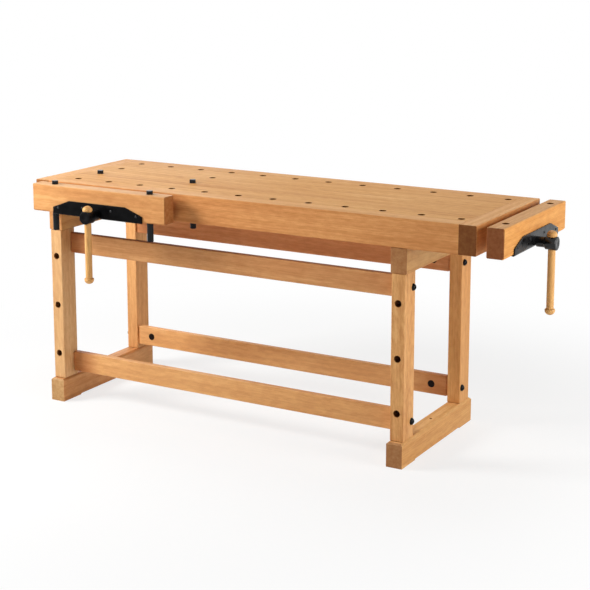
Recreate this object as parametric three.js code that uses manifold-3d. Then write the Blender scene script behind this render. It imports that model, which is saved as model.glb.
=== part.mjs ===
// Woodworking bench with a front vise and an end vise.
// Millimetres, +Z up, +X along the bench to the end vise, the front of the bench faces -Y.
// The bench is drawn about the middle of its top, and the finished group is then moved so that the
// origin lies on the floor under the middle of the whole object.
import * as THREE from 'three';
import { mergeVertices } from 'three/addons/utils/BufferGeometryUtils.js';
import Module from 'manifold-3d';

const wasm = await Module();
wasm.setup();

// Clearances
const seam = 0.3; // between pieces that are glued, screwed or seated on each other
const slideFit = 0.5; // round a piece that slides or turns in a bore
const passFit = 1; // round a rod that passes through a notch without touching it

// Top
const topLength = 1885;
const topDepth = 596;
const topHeight = 900; // working height above the floor
const skirtHeight = 105; // height of the aprons and the end caps
const slabThickness = 40;
const endCapThickness = 64;
const frontApronThickness = 64;
const rearApronThickness = 52;
const dogBoardWidth = 54; // the narrow boards that hold the two rows of dog holes
const middleBoardCount = 2; // wide boards between the two dog boards
const topEase = 2; // small chamfer along the outer edges of the top

// Dog holes and bench dogs
const dogHoleDiameter = 25;
const dogPitch = 150; // from hole to hole along a row
const dogRowStart = 94; // from the right end of the top to the first hole
const dogRailClearance = 5; // least room between the last hole and the left trestle's rail
const dogSpanCount = 3; // the two dogs of the front jaw are this many pitches apart
const dogRowCount = 4; // rows across the top where the front vise's dogs stand
const dogLength = 195;
const dogProud = 14; // how far a dog stands above the wood
const dogHeadHeight = 24; // length of the flat-sided head
const dogHeadFlat = 10; // from the dog's axis to the flat that bears on the work
const dogEase = 1.5;

// Trestles
const rightOverhang = 289; // from the right end of the top to the middle of the right trestle
const leftOverhang = 87; // from the left end of the top to the middle of the left trestle
const trestleForward = 2; // the trestles stand this far in front of the top's middle
const footLength = 614;
const footWidth = 62;
const footHeight = 92;
const footChamfer = 7; // round the upper edges of the foot
const footPadLength = 108; // the part at each end that stands on the floor
const footRelief = 4.5; // how far the underside is cut back between the pads
const footHoleDiameter = 12; // counterbore of the floor screw
const footHoleDepth = 16;
const footScrewDiameter = 6.5;
const railHeight = 93;
const railWidth = 62;
const legSpan = 579; // from the front face of the front leg to the back of the rear leg
const legWidth = 52;
const legDepth = 84;
const legHoleStart = 195; // height of the lowest dog hole in the front legs
const legHolePitch = 200;
const legHoleCount = 3;
const tenonLength = 55;
const tenonThickness = 20;
const tenonWidth = 60;
const timberEase = 2; // small chamfer on the edges of legs, rails and stretchers

// Stretchers and their bolts
const stretcherHeight = 80;
const stretcherThickness = 24;
const stretcherInset = 5.5; // behind the legs' inner faces
const lowerStretcherBase = 112.5; // height of the lower stretchers' undersides
const upperStretcherDrop = 18.2; // from the rails' undersides to the upper stretchers
const stretcherEndLength = 8; // chamfer round each end, along the stretcher
const stretcherEndDepth = 4; // and across it
const boltDiameter = 10;
const boltHeadDiameter = 26.5;
const boltHeadHeight = 7;
const boltSocketWidth = 7; // hexagon socket in the bolt head, across the flats
const boltSocketDepth = 3.5;
const boltPastNut = 8; // bolt end beyond the barrel nut's axis
const barrelNutDiameter = 25;
const barrelNutLength = 20;
const barrelNutReach = 70; // from the leg to the barrel nut's axis

// Vises
const jawHeight = 106;
const jawEase = 2.5;
const frontJawLength = 626;
const frontJawThickness = 60;
const frontJawGap = 24.3; // between the jaw and the bench, as drawn
const frontJawTravel = 120; // how far the jaw can still be opened
const endJawThickness = 63;
const endJawGap = 36.3;
const endJawTravel = 108;
const screwDiameter = 20;
const screwRise = 10.5; // from the jaw's underside to the screw's axis
const guideRodDiameter = 18;
const guideSpacing = 260; // between the two guide rods
const rodSpare = 4; // of rod left behind the bracket when the jaw is fully open
const plateDogClearance = 2.5; // between the plate's ends and the jaw's dogs
const plateTopWidth = 264;
const plateHeight = 57.5;
const plateShoulder = 28.5; // height of the plate's upright ends
const plateThickness = 5;
const plateBend = 4; // inner radius of the fold under the jaw
const plateFlange = 40; // how far the plate reaches under the jaw
const plateFlangeTaper = 30; // the flange is cut back at its ends
const headDiameter = 50;
const headLength = 45;
const headReach = 73.5; // from the plate to the head's face
const headFaceChamfer = 2.5;
const headBackChamfer = 6;
const headFlat = 21.5; // from the screw's axis to the seats of the handle's knobs
const collarDiameter = 37;
const clipDiameter = 26;
const clipThickness = 4;
const handleDiameter = 25;
const handleLength = 302;
const handleSetback = 20; // from the head's face to the handle's axis
const knobDiameter = 37;
const knobLength = 23;
const knobRound = 5;
const spigotDiameter = 14;
const spigotLength = 15;
const bracketLength = 40;
const bracketWeb = 12;
const bracketFlange = 8;
const guideBossDiameter = 34;
const nutBossDiameter = 42;
const bracketMargin = 12; // flange beyond the outer bosses
const bracketWebRise = 14; // from the screw's axis up to the web's lower edge

// Fineness of round shapes
const holeSides = 18; // dog holes
const rodSides = 16; // rods, dogs, nuts and their bores
const boltSides = 12;
const turnedSides = 24; // handles and screw heads
const arcSteps = 4; // on a quarter round
const socketSides = 6; // hexagon socket of the bolts
const weldDistance = 1e-4; // corners nearer than this are one corner
const quarterTurnDegrees = 90; // from the front vise's direction to the end vise's

// Places worked out from the sizes above
const skirtBase = topHeight - skirtHeight;
const slabBase = topHeight - slabThickness;
const slabFront = -topDepth / 2 + frontApronThickness;
const slabBack = topDepth / 2 - rearApronThickness;
const slabRight = topLength / 2 - endCapThickness;
const frontDogRow = slabFront + dogBoardWidth / 2;
const rearDogRow = slabBack - dogBoardWidth / 2;
const dogRowSpacing = (rearDogRow - frontDogRow) / (dogRowCount - 1);
const dogRowEnd = leftOverhang + railWidth / 2 + dogRailClearance + dogHoleDiameter / 2;
const dogRowLength = topLength - dogRowStart - dogRowEnd;
const dogCount = Math.floor(dogRowLength / dogPitch) + 1;
const dogLines = Array.from({ length: dogCount }, (_, i) => topLength / 2 - dogRowStart - i * dogPitch);
const dogSpan = dogSpanCount * dogPitch;
const leftDogLine = dogLines[dogCount - 1];
const rightDogLine = leftDogLine + dogSpan;
const frontViseX = (leftDogLine + rightDogLine) / 2;
const jawBase = topHeight - jawHeight;
const screwHeight = jawBase + screwRise;
const plateWidth = dogSpan - dogHoleDiameter - 2 * plateDogClearance;
const railTop = skirtBase - seam;
const railBase = railTop - railHeight;
const upperStretcherBase = railBase - upperStretcherDrop - stretcherHeight;
const leftTrestleX = -topLength / 2 + leftOverhang;
const rightTrestleX = topLength / 2 - rightOverhang;
const trestleY = -trestleForward;
const frontLegY = trestleY - legSpan / 2 + legDepth / 2;
const rearLegY = trestleY + legSpan / 2 - legDepth / 2;
const stretcherStart = leftTrestleX + legWidth / 2 + seam;
const stretcherEnd = rightTrestleX - legWidth / 2 - seam;
const frontStretcherY = frontLegY + legDepth / 2 - stretcherInset - stretcherThickness / 2;
const rearStretcherY = rearLegY - legDepth / 2 + stretcherInset + stretcherThickness / 2;

// Finishes
const beech = { color: 0xd9a066, roughness: 0.55, metalness: 0 };
const paleWood = { color: 0xe0b070, roughness: 0.4, metalness: 0 };
const blackSteel = { color: 0x17181a, roughness: 0.45, metalness: 0.6 };
const brightSteel = { color: 0x8d9094, roughness: 0.35, metalness: 1 };

// Shapes

// A closed solid from a geometry: shared corners are merged and empty triangles dropped.
function solid(geometry) {
  const plain = geometry.clone();
  plain.deleteAttribute('normal');
  plain.deleteAttribute('uv');
  const merged = mergeVertices(plain, weldDistance);
  const corners = Array.from(merged.index.array);
  const kept = [];
  for (let i = 0; i < corners.length; i += 3) {
    const [a, b, c] = corners.slice(i, i + 3);
    if (a !== b && b !== c && c !== a) kept.push(a, b, c);
  }
  const vertProperties = new Float32Array(merged.attributes.position.array);
  const triVerts = new Uint32Array(kept);
  return new wasm.Manifold(new wasm.Mesh({ numProp: 3, vertProperties, triVerts }));
}

// A box between two corners.
function block(low, high) {
  const size = high.map((value, i) => value - low[i]);
  const middle = high.map((value, i) => (value + low[i]) / 2);
  return solid(new THREE.BoxGeometry(...size).translate(...middle));
}

// An outline as a list of corner points.
function outline(points) {
  return new THREE.Shape(points.map(([x, y]) => new THREE.Vector2(x, y)));
}

// A rectangle with its corners cut off at 45 degrees.
function easedRectangle(width, height, ease) {
  const x = width / 2;
  const y = height / 2;
  return outline([
    [x - ease, -y], [x, -y + ease], [x, y - ease], [x - ease, y],
    [-x + ease, y], [-x, y - ease], [-x, -y + ease], [-x + ease, -y],
  ]);
}

// A straight timber between two corners with a small chamfer on all its edges.
function timber(low, high, ease) {
  const [sx, sy, sz] = high.map((value, i) => value - low[i]);
  const [mx, my, mz] = high.map((value, i) => (value + low[i]) / 2);
  const bevel = { bevelThickness: ease, bevelSize: ease, bevelOffset: -ease, bevelSegments: 1 };
  const shape = easedRectangle(sx, sy, ease);
  const geometry = new THREE.ExtrudeGeometry(shape, { depth: sz - 2 * ease, ...bevel });
  return solid(geometry.translate(mx, my, mz - sz / 2 + ease));
}

// An outline drawn in X and Z, carried along Y from one place to another.
function alongY(shape, from, to) {
  const geometry = new THREE.ExtrudeGeometry(shape, {
    depth: to - from, bevelEnabled: false, curveSegments: arcSteps,
  });
  return solid(geometry.rotateX(Math.PI / 2).translate(0, to, 0));
}

// An outline drawn in Y and Z, carried along X.
function alongX(shape, from, to) {
  const geometry = new THREE.ExtrudeGeometry(shape, {
    depth: to - from, bevelEnabled: false, curveSegments: arcSteps,
  });
  return solid(geometry.rotateX(Math.PI / 2).rotateZ(Math.PI / 2).translate(from, 0, 0));
}

// An outline drawn in X and Y, carried up Z.
function alongZ(shape, from, to) {
  const geometry = new THREE.ExtrudeGeometry(shape, {
    depth: to - from, bevelEnabled: false, curveSegments: arcSteps,
  });
  return solid(geometry.translate(0, 0, from));
}

const turnToAxis = {
  x: (geometry) => geometry.rotateZ(-Math.PI / 2),
  y: (geometry) => geometry,
  z: (geometry) => geometry.rotateX(Math.PI / 2),
};

// A round rod along an axis through a point, between two places on that axis.
function rod(axis, point, radius, from, to, sides = rodSides) {
  const geometry = turnToAxis[axis](new THREE.CylinderGeometry(radius, radius, to - from, sides));
  const middle = { ...point, [axis]: (from + to) / 2 };
  return solid(geometry.translate(middle.x, middle.y, middle.z));
}

// The cutter for a round hole: its flat sides, and not only its corners, clear the radius.
function bore(axis, point, radius, from, to, sides = rodSides) {
  return rod(axis, point, radius / Math.cos(Math.PI / sides), from, to, sides);
}

// A turned piece on the Z axis, from a profile of [radius, height] that starts and ends on the axis.
function turned(profile, sides = turnedSides) {
  const points = profile.map(([radius, height]) => new THREE.Vector2(radius, height));
  return solid(new THREE.LatheGeometry(points, sides).rotateX(Math.PI / 2));
}

// A row of points on a quarter round between two [radius, height] points, bulging to the corner.
function quarter(centre, radius, start, end) {
  return Array.from({ length: arcSteps + 1 }, (_, i) => {
    const angle = start + (end - start) * (i / arcSteps);
    return [centre[0] + radius * Math.cos(angle), centre[1] + radius * Math.sin(angle)];
  });
}

const bench = new THREE.Group();

// Puts a solid into a group as a named mesh with a material of its own.
function place(group, name, shape, finish) {
  const { vertProperties, triVerts } = shape.getMesh();
  const geometry = new THREE.BufferGeometry();
  geometry.setAttribute('position', new THREE.BufferAttribute(vertProperties, 3));
  geometry.setIndex(new THREE.BufferAttribute(triVerts, 1));
  const mesh = new THREE.Mesh(geometry, new THREE.MeshStandardMaterial(finish));
  mesh.name = name;
  group.add(mesh);
}

// Top: two end caps with the aprons and boards between them

function withHoles(shape, places) {
  const radius = dogHoleDiameter / 2;
  return places.reduce(
    (wood, [x, y]) => wood.subtract(bore('z', { x, y }, radius, jawBase - seam, topHeight + seam, holeSides)),
    shape,
  );
}

// The notch through which a rod of a vise passes, open below.
function rodNotch(x, diameter, base, from, to) {
  const radius = diameter / 2 + passFit;
  const shape = new THREE.Shape();
  shape.moveTo(x - radius, base);
  shape.lineTo(x + radius, base);
  shape.lineTo(x + radius, screwHeight);
  shape.absarc(x, screwHeight, radius, 0, Math.PI);
  shape.closePath();
  return alongY(shape, from, to);
}

// The three notches of a vise, in the vise's own frame, where +Y leads into the bench.
function viseNotches(base, from, to) {
  const screw = rodNotch(0, screwDiameter, base, from, to);
  const guides = [-1, 1].map((side) => rodNotch(side * guideSpacing / 2, guideRodDiameter, base, from, to));
  return guides.reduce((all, guide) => all.add(guide), screw);
}

function buildTop() {
  const boardStart = -topLength / 2 + endCapThickness + seam;
  const boardEnd = slabRight - seam;
  const front = -topDepth / 2;
  const back = topDepth / 2;
  const below = skirtBase - seam;

  // The aprons and caps are cut from one chamfered outline, so that their seams lie flush.
  const wholeTop = timber([-topLength / 2, front, skirtBase], [topLength / 2, back, topHeight], topEase);
  const edging = (low, high) => wholeTop.intersect(block([...low, skirtBase], [...high, topHeight]));

  const frontNotches = viseNotches(below, front - seam, slabFront + seam).translate([frontViseX, 0, 0]);
  const apron = edging([boardStart, front], [boardEnd, slabFront]);
  place(bench, 'top_front_apron', apron.subtract(frontNotches), beech);
  place(bench, 'top_rear_apron', edging([boardStart, slabBack], [boardEnd, back]), beech);

  const leftCap = edging([-topLength / 2, front], [boardStart - seam, back]);
  place(bench, 'top_left_end_cap', leftCap, beech);
  const rightCap = edging([slabRight, front], [topLength / 2, back]);
  const endNotches = viseNotches(below, -seam, endCapThickness + seam)
    .rotate([0, 0, quarterTurnDegrees]).translate([topLength / 2, 0, 0]);
  place(bench, 'top_right_end_cap', rightCap.subtract(endNotches), beech);

  const board = (from, to) => block([boardStart, from + seam, slabBase], [boardEnd, to, topHeight]);
  const frontBoard = board(slabFront, slabFront + dogBoardWidth);
  place(bench, 'top_front_dog_board', withHoles(frontBoard, dogLines.map((x) => [x, frontDogRow])), beech);
  const rearBoard = board(slabBack - dogBoardWidth, slabBack - seam);
  place(bench, 'top_rear_dog_board', withHoles(rearBoard, dogLines.map((x) => [x, rearDogRow])), beech);

  const middleFront = slabFront + dogBoardWidth;
  const middleWidth = (slabBack - dogBoardWidth - middleFront) / middleBoardCount;
  const middleHoles = [];
  for (let row = 1; row < dogRowCount - 1; row += 1) {
    const y = frontDogRow + row * dogRowSpacing;
    middleHoles.push([leftDogLine, y], [rightDogLine, y]);
  }
  for (let i = 0; i < middleBoardCount; i += 1) {
    const from = middleFront + i * middleWidth;
    place(bench, `top_board_${i + 1}`, withHoles(board(from, from + middleWidth), middleHoles), beech);
  }
}

// Trestles: a foot, two legs and a top rail, joined by tenons

function tenon(x, y, low, high, clearance) {
  const halfThick = tenonThickness / 2 + clearance;
  const halfWide = tenonWidth / 2 + clearance;
  return block([x - halfThick, y - halfWide, low], [x + halfThick, y + halfWide, high]);
}

function footShape(x) {
  const half = footLength / 2;
  const side = outline([
    [-half, 0], [-half + footPadLength, 0], [-half + footPadLength + footRelief, footRelief],
    [half - footPadLength - footRelief, footRelief], [half - footPadLength, 0], [half, 0],
    [half, footHeight - footChamfer], [half - footChamfer, footHeight],
    [-half + footChamfer, footHeight], [-half, footHeight - footChamfer],
  ]);
  const edge = footWidth / 2;
  const end = outline([
    [-edge, 0], [edge, 0], [edge, footHeight - footChamfer], [edge - footChamfer, footHeight],
    [-edge + footChamfer, footHeight], [-edge, footHeight - footChamfer],
  ]);
  const body = alongX(side, -edge, edge).intersect(alongY(end, -half, half)).translate([x, trestleY, 0]);
  const middle = { x, y: trestleY };
  const head = bore(
    'z', middle, footHoleDiameter / 2, footHeight - footHoleDepth, footHeight + seam, boltSides,
  );
  const shank = bore('z', middle, footScrewDiameter / 2, -seam, footHeight, boltSides);
  return body.subtract(head).subtract(shank);
}

function legShape(x, y, boltY, dogHoles) {
  const low = footHeight + seam;
  const high = railBase - seam;
  const halfWide = legWidth / 2;
  const halfDeep = legDepth / 2;
  let leg = timber([x - halfWide, y - halfDeep, low], [x + halfWide, y + halfDeep, high], timberEase)
    .add(tenon(x, y, low - tenonLength, high + tenonLength, 0));
  for (const base of [lowerStretcherBase, upperStretcherBase]) {
    const axis = { y: boltY, z: base + stretcherHeight / 2 };
    const radius = boltDiameter / 2 + seam;
    leg = leg.subtract(bore('x', axis, radius, x - legWidth, x + legWidth, boltSides));
  }
  for (let i = 0; i < dogHoles; i += 1) {
    const axis = { x, z: legHoleStart + i * legHolePitch };
    leg = leg.subtract(bore('y', axis, dogHoleDiameter / 2, y - legDepth, y + legDepth, holeSides));
  }
  return leg;
}

function buildTrestle(side, x) {
  const legPlaces = [frontLegY, rearLegY];
  const mortises = (low, high) => legPlaces
    .map((y) => tenon(x, y, low, high, seam))
    .reduce((all, one) => all.add(one));
  const footMortises = mortises(footHeight - tenonLength, footHeight + seam);
  place(bench, `${side}_foot`, footShape(x).subtract(footMortises), beech);

  const railEdge = railWidth / 2;
  const railEnd = legSpan / 2;
  const rail = timber(
    [x - railEdge, trestleY - railEnd, railBase], [x + railEdge, trestleY + railEnd, railTop], timberEase,
  );
  const railMortises = mortises(railBase - seam, railBase + tenonLength);
  place(bench, `${side}_top_rail`, rail.subtract(railMortises), beech);

  place(bench, `${side}_front_leg`, legShape(x, frontLegY, frontStretcherY, legHoleCount), beech);
  place(bench, `${side}_rear_leg`, legShape(x, rearLegY, rearStretcherY, 0), beech);
}

// Stretchers, each held at both ends by a bolt and a barrel nut

// The stretcher's body, with a long chamfer round both of its ends.
function stretcherBody(y, base) {
  const length = stretcherEnd - stretcherStart;
  const halfThick = stretcherThickness / 2;
  const plan = outline([
    [0, -halfThick + stretcherEndDepth], [stretcherEndLength, -halfThick],
    [length - stretcherEndLength, -halfThick], [length, -halfThick + stretcherEndDepth],
    [length, halfThick - stretcherEndDepth], [length - stretcherEndLength, halfThick],
    [stretcherEndLength, halfThick], [0, halfThick - stretcherEndDepth],
  ]);
  const face = outline([
    [0, stretcherEndDepth], [stretcherEndLength, 0], [length - stretcherEndLength, 0],
    [length, stretcherEndDepth], [length, stretcherHeight - stretcherEndDepth],
    [length - stretcherEndLength, stretcherHeight], [stretcherEndLength, stretcherHeight],
    [0, stretcherHeight - stretcherEndDepth],
  ]);
  const bar = timber([-length, -halfThick, 0], [2 * length, halfThick, stretcherHeight], timberEase);
  return bar
    .intersect(alongZ(plan, 0, stretcherHeight))
    .intersect(alongY(face, -halfThick, halfThick))
    .translate([stretcherStart, y, base]);
}

// A bolt lying along X, with its domed head at the left and its shank to the right of it.
function boltShape() {
  const shankLength = legWidth + seam + barrelNutReach + boltPastNut;
  const half = boltHeadDiameter / 2;
  const domeRadius = (half * half + boltHeadHeight * boltHeadHeight) / (2 * boltHeadHeight);
  const spread = Math.asin(half / domeRadius);
  const centre = [0, boltHeadHeight - domeRadius];
  const dome = quarter(centre, domeRadius, Math.PI / 2 - spread, Math.PI / 2);
  const shank = boltDiameter / 2;
  const profile = [[0, -shankLength], [shank, -shankLength], [shank, 0], ...dome];
  profile[profile.length - 1] = [0, boltHeadHeight];
  const socket = rod(
    'z', { x: 0, y: 0 }, boltSocketWidth / Math.sqrt(3), boltHeadHeight - boltSocketDepth,
    boltHeadHeight + seam, socketSides,
  );
  return turned(profile, boltSides).subtract(socket).rotate([0, -quarterTurnDegrees, 0]);
}

function buildStretchers() {
  const bolt = boltShape();
  const rows = [['front', frontStretcherY, 1], ['rear', rearStretcherY, -1]];
  const levels = [['upper', upperStretcherBase], ['lower', lowerStretcherBase]];
  const ends = [['left', leftTrestleX, 1], ['right', rightTrestleX, -1]];
  for (const [row, y, inward] of rows) {
    for (const [level, base] of levels) {
      const z = base + stretcherHeight / 2;
      const inner = y + inward * stretcherThickness / 2;
      const nutEnd = inner - inward * barrelNutLength;
      let stretcher = stretcherBody(y, base);
      for (const [end, trestle, along] of ends) {
        const outer = trestle - along * legWidth / 2;
        const seat = outer - along * seam;
        const nutX = trestle + along * (legWidth / 2 + barrelNutReach);
        const tip = nutX + along * (boltPastNut + 2 * seam);
        const boltSpan = [outer, tip].sort((a, b) => a - b);
        const boltHole = bore('x', { y, z }, boltDiameter / 2 + seam, ...boltSpan, boltSides);
        const nutSpan = [nutEnd, inner].sort((a, b) => a - b);
        const holeSpan = [nutEnd - inward * seam, inner + inward * seam].sort((a, b) => a - b);
        const nutHole = bore('y', { x: nutX, z }, barrelNutDiameter / 2 + seam, ...holeSpan);
        stretcher = stretcher.subtract(boltHole).subtract(nutHole);
        const nut = rod('y', { x: nutX, z }, barrelNutDiameter / 2, ...nutSpan).subtract(boltHole);
        const turn = along > 0 ? 0 : 2 * quarterTurnDegrees;
        const turnedBolt = bolt.rotate([0, 0, turn]).translate([seat, y, z]);
        place(bench, `bolt_${end}_${row}_${level}`, turnedBolt, blackSteel);
        place(bench, `barrel_nut_${end}_${row}_${level}`, nut, blackSteel);
      }
      place(bench, `${row}_${level}_stretcher`, stretcher, beech);
    }
  }
}

// Bench dogs: a round shank and a head with one flat that bears on the work

function dogShape() {
  const radius = dogHoleDiameter / 2 - seam;
  const top = dogProud;
  const bottom = dogProud - dogLength;
  const body = turned([
    [0, bottom], [radius - dogEase, bottom], [radius, bottom + dogEase],
    [radius, top - dogEase], [radius - dogEase, top], [0, top],
  ], rodSides);
  const flat = block(
    [-dogHoleDiameter, -dogHoleDiameter, top - dogHeadHeight], [dogHoleDiameter, -dogHeadFlat, top + seam],
  );
  return body.subtract(flat);
}

function buildDogs() {
  const dog = dogShape();
  const benchRow = frontDogRow + dogRowSpacing;
  const jawRow = -topDepth / 2 - frontJawGap - frontJawThickness / 2;
  for (const [side, x] of [['left', leftDogLine], ['right', rightDogLine]]) {
    place(bench, `bench_dog_${side}`, dog.translate([x, benchRow, topHeight]), blackSteel);
    const facingBack = dog.rotate([0, 0, 2 * quarterTurnDegrees]);
    place(bench, `jaw_dog_${side}`, facingBack.translate([x, jawRow, topHeight]), blackSteel);
  }
}

// Vises: built in a frame of their own. The fixed face of the bench is at y = 0, the jaw lies
// towards -Y, the screw's axis is at x = 0 and heights are the bench's own.

// The folded steel plate: an upright face with sloping shoulders and a flange under the jaw.
function plateShape(jawFace) {
  const face = jawFace - seam - plateThickness;
  const back = jawFace - seam;
  const flangeTop = jawBase - seam;
  const base = flangeTop - plateThickness;
  const outer = plateBend + plateThickness;
  const fold = new THREE.Shape();
  fold.moveTo(face, base + plateHeight);
  fold.lineTo(face, base + outer);
  fold.absarc(face + outer, base + outer, outer, Math.PI, 1.5 * Math.PI);
  fold.lineTo(back + plateFlange, base);
  fold.lineTo(back + plateFlange, flangeTop);
  fold.lineTo(face + outer, flangeTop);
  fold.absarc(face + outer, base + outer, plateBend, 1.5 * Math.PI, Math.PI, true);
  fold.lineTo(back, base + plateHeight);
  fold.closePath();
  const half = plateWidth / 2;
  const shoulders = outline([
    [-half, base], [half, base], [half, base + plateShoulder], [plateTopWidth / 2, base + plateHeight],
    [-plateTopWidth / 2, base + plateHeight], [-half, base + plateShoulder],
  ]);
  const flange = outline([
    [-half, face], [half, face], [half, back], [half - plateFlangeTaper, back + plateFlange],
    [-half + plateFlangeTaper, back + plateFlange], [-half, back],
  ]);
  const notchHalf = clipDiameter / 2 + passFit;
  const clipNotch = block(
    [-notchHalf, back, base - seam], [notchHalf, back + plateFlange + seam, screwHeight],
  );
  const onAxis = { x: 0, z: screwHeight };
  const screwHole = bore('y', onAxis, screwDiameter / 2 + slideFit, face - seam, back + seam);
  return alongX(fold, -half, half)
    .intersect(alongY(shoulders, face, back + plateFlange))
    .intersect(alongZ(flange, base, base + plateHeight))
    .subtract(clipNotch)
    .subtract(screwHole);
}

// The wooden jaw, with notches for the screw and rods, a pocket for the clip and its dog holes.
function jawShape(length, jawFace, thickness, dogPlaces) {
  const wood = timber(
    [-length / 2, jawFace, jawBase], [length / 2, jawFace + thickness, topHeight], jawEase,
  );
  const middle = { x: 0, z: screwHeight };
  const pocketEnd = jawFace + clipThickness + 2 * passFit;
  const pocket = bore('y', middle, clipDiameter / 2 + passFit, jawFace - seam, pocketEnd);
  const bend = block(
    [-length, jawFace - seam, jawBase - seam],
    [length, jawFace + plateBend + seam, jawBase + plateBend + seam],
  );
  const notches = viseNotches(jawBase - seam, jawFace - seam, jawFace + thickness + seam);
  const holes = dogPlaces.map((x) => [x, jawFace + thickness / 2]);
  return withHoles(wood.subtract(bend).subtract(pocket).subtract(notches), holes);
}

// The screw's cast head: a round boss with a cross hole for the handle and a collar behind it.
function headShape(front, back) {
  const length = back - front;
  const radius = headDiameter / 2;
  const collar = collarDiameter / 2;
  const body = turned([
    [0, -length], [collar, -length], [collar, -headLength - headBackChamfer + (radius - collar)],
    [radius, -headLength + headBackChamfer], [radius, -headFaceChamfer],
    [radius - headFaceChamfer, 0], [0, 0],
  ]).rotate([quarterTurnDegrees, 0, 0]).translate([0, front, screwHeight]);
  const axis = { x: 0, y: front + handleSetback };
  const handleFit = handleDiameter / 2 + slideFit;
  const handleHole = bore('z', axis, handleFit, screwHeight - radius, screwHeight + radius);
  const seatRadius = knobDiameter / 2 + slideFit;
  const upperSeat = bore('z', axis, seatRadius, screwHeight + headFlat, screwHeight + radius);
  const lowerSeat = bore('z', axis, seatRadius, screwHeight - radius, screwHeight - headFlat);
  const socketFront = front + handleSetback + handleDiameter;
  const socket = bore('y', { x: 0, z: screwHeight }, screwDiameter / 2 + seam, socketFront, back + seam);
  return body.subtract(handleHole).subtract(upperSeat).subtract(lowerSeat).subtract(socket);
}

// The turned handle hangs in the head by its upper knob; the lower knob is a piece of its own.
function handleShapes() {
  const knobSeat = headFlat + seam;
  const top = knobSeat + knobLength;
  const bottom = top - handleLength;
  const lowerKnobTop = bottom + knobLength;
  const shaft = handleDiameter / 2;
  const knob = knobDiameter / 2;
  const spigot = spigotDiameter / 2;
  const crown = knob - knobRound;
  const spigotEnd = lowerKnobTop - spigotLength;
  const bar = turned([
    [0, spigotEnd], [spigot, spigotEnd], [spigot, lowerKnobTop + seam], [shaft, lowerKnobTop + seam],
    [shaft, knobSeat], [crown + knobRound / 2, knobSeat], [knob, knobSeat + knobRound / 2],
    ...quarter([crown, top - knobRound], knobRound, 0, Math.PI / 2), [0, top],
  ]);
  const socket = bore('z', { x: 0, y: 0 }, spigot + seam, spigotEnd - seam, lowerKnobTop + seam);
  const loose = turned([
    [0, bottom], ...quarter([crown, bottom + knobRound], knobRound, -Math.PI / 2, 0),
    [knob, lowerKnobTop - knobRound / 2], [crown + knobRound / 2, lowerKnobTop], [0, lowerKnobTop],
  ]).subtract(socket);
  return { bar, loose };
}

// The cast bracket under the top: a flange, a web, two guide bosses and the nut.
function bracketShape(front) {
  const back = front + bracketLength;
  const top = slabBase - seam;
  const guide = guideSpacing / 2;
  const guideRadius = guideBossDiameter / 2;
  const nutRadius = nutBossDiameter / 2;
  const half = guide + guideRadius + bracketMargin;
  const webBase = screwHeight + bracketWebRise;
  const web = new THREE.Shape();
  web.moveTo(-half, top);
  web.lineTo(-half, top - bracketFlange);
  web.lineTo(-guide - guideRadius, screwHeight);
  web.absarc(-guide, screwHeight, guideRadius, Math.PI, 2 * Math.PI);
  web.lineTo(-guide + guideRadius, webBase);
  web.lineTo(-nutRadius, webBase);
  web.lineTo(-nutRadius, screwHeight);
  web.absarc(0, screwHeight, nutRadius, Math.PI, 2 * Math.PI);
  web.lineTo(nutRadius, webBase);
  web.lineTo(guide - guideRadius, webBase);
  web.lineTo(guide - guideRadius, screwHeight);
  web.absarc(guide, screwHeight, guideRadius, Math.PI, 2 * Math.PI);
  web.lineTo(half, top - bracketFlange);
  web.lineTo(half, top);
  web.closePath();
  const rods = [[0, screwDiameter, nutBossDiameter]];
  for (const side of [-1, 1]) rods.push([side * guide, guideRodDiameter, guideBossDiameter]);
  let bracket = alongY(web, front, front + bracketWeb)
    .add(block([-half, front, top - bracketFlange], [half, back, top]));
  for (const [x, , boss] of rods) {
    bracket = bracket.add(rod('y', { x, z: screwHeight }, boss / 2, front, back));
  }
  for (const [x, diameter] of rods) {
    const hole = bore('y', { x, z: screwHeight }, diameter / 2 + slideFit, front - seam, back + seam);
    bracket = bracket.subtract(hole);
  }
  return bracket;
}

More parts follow.
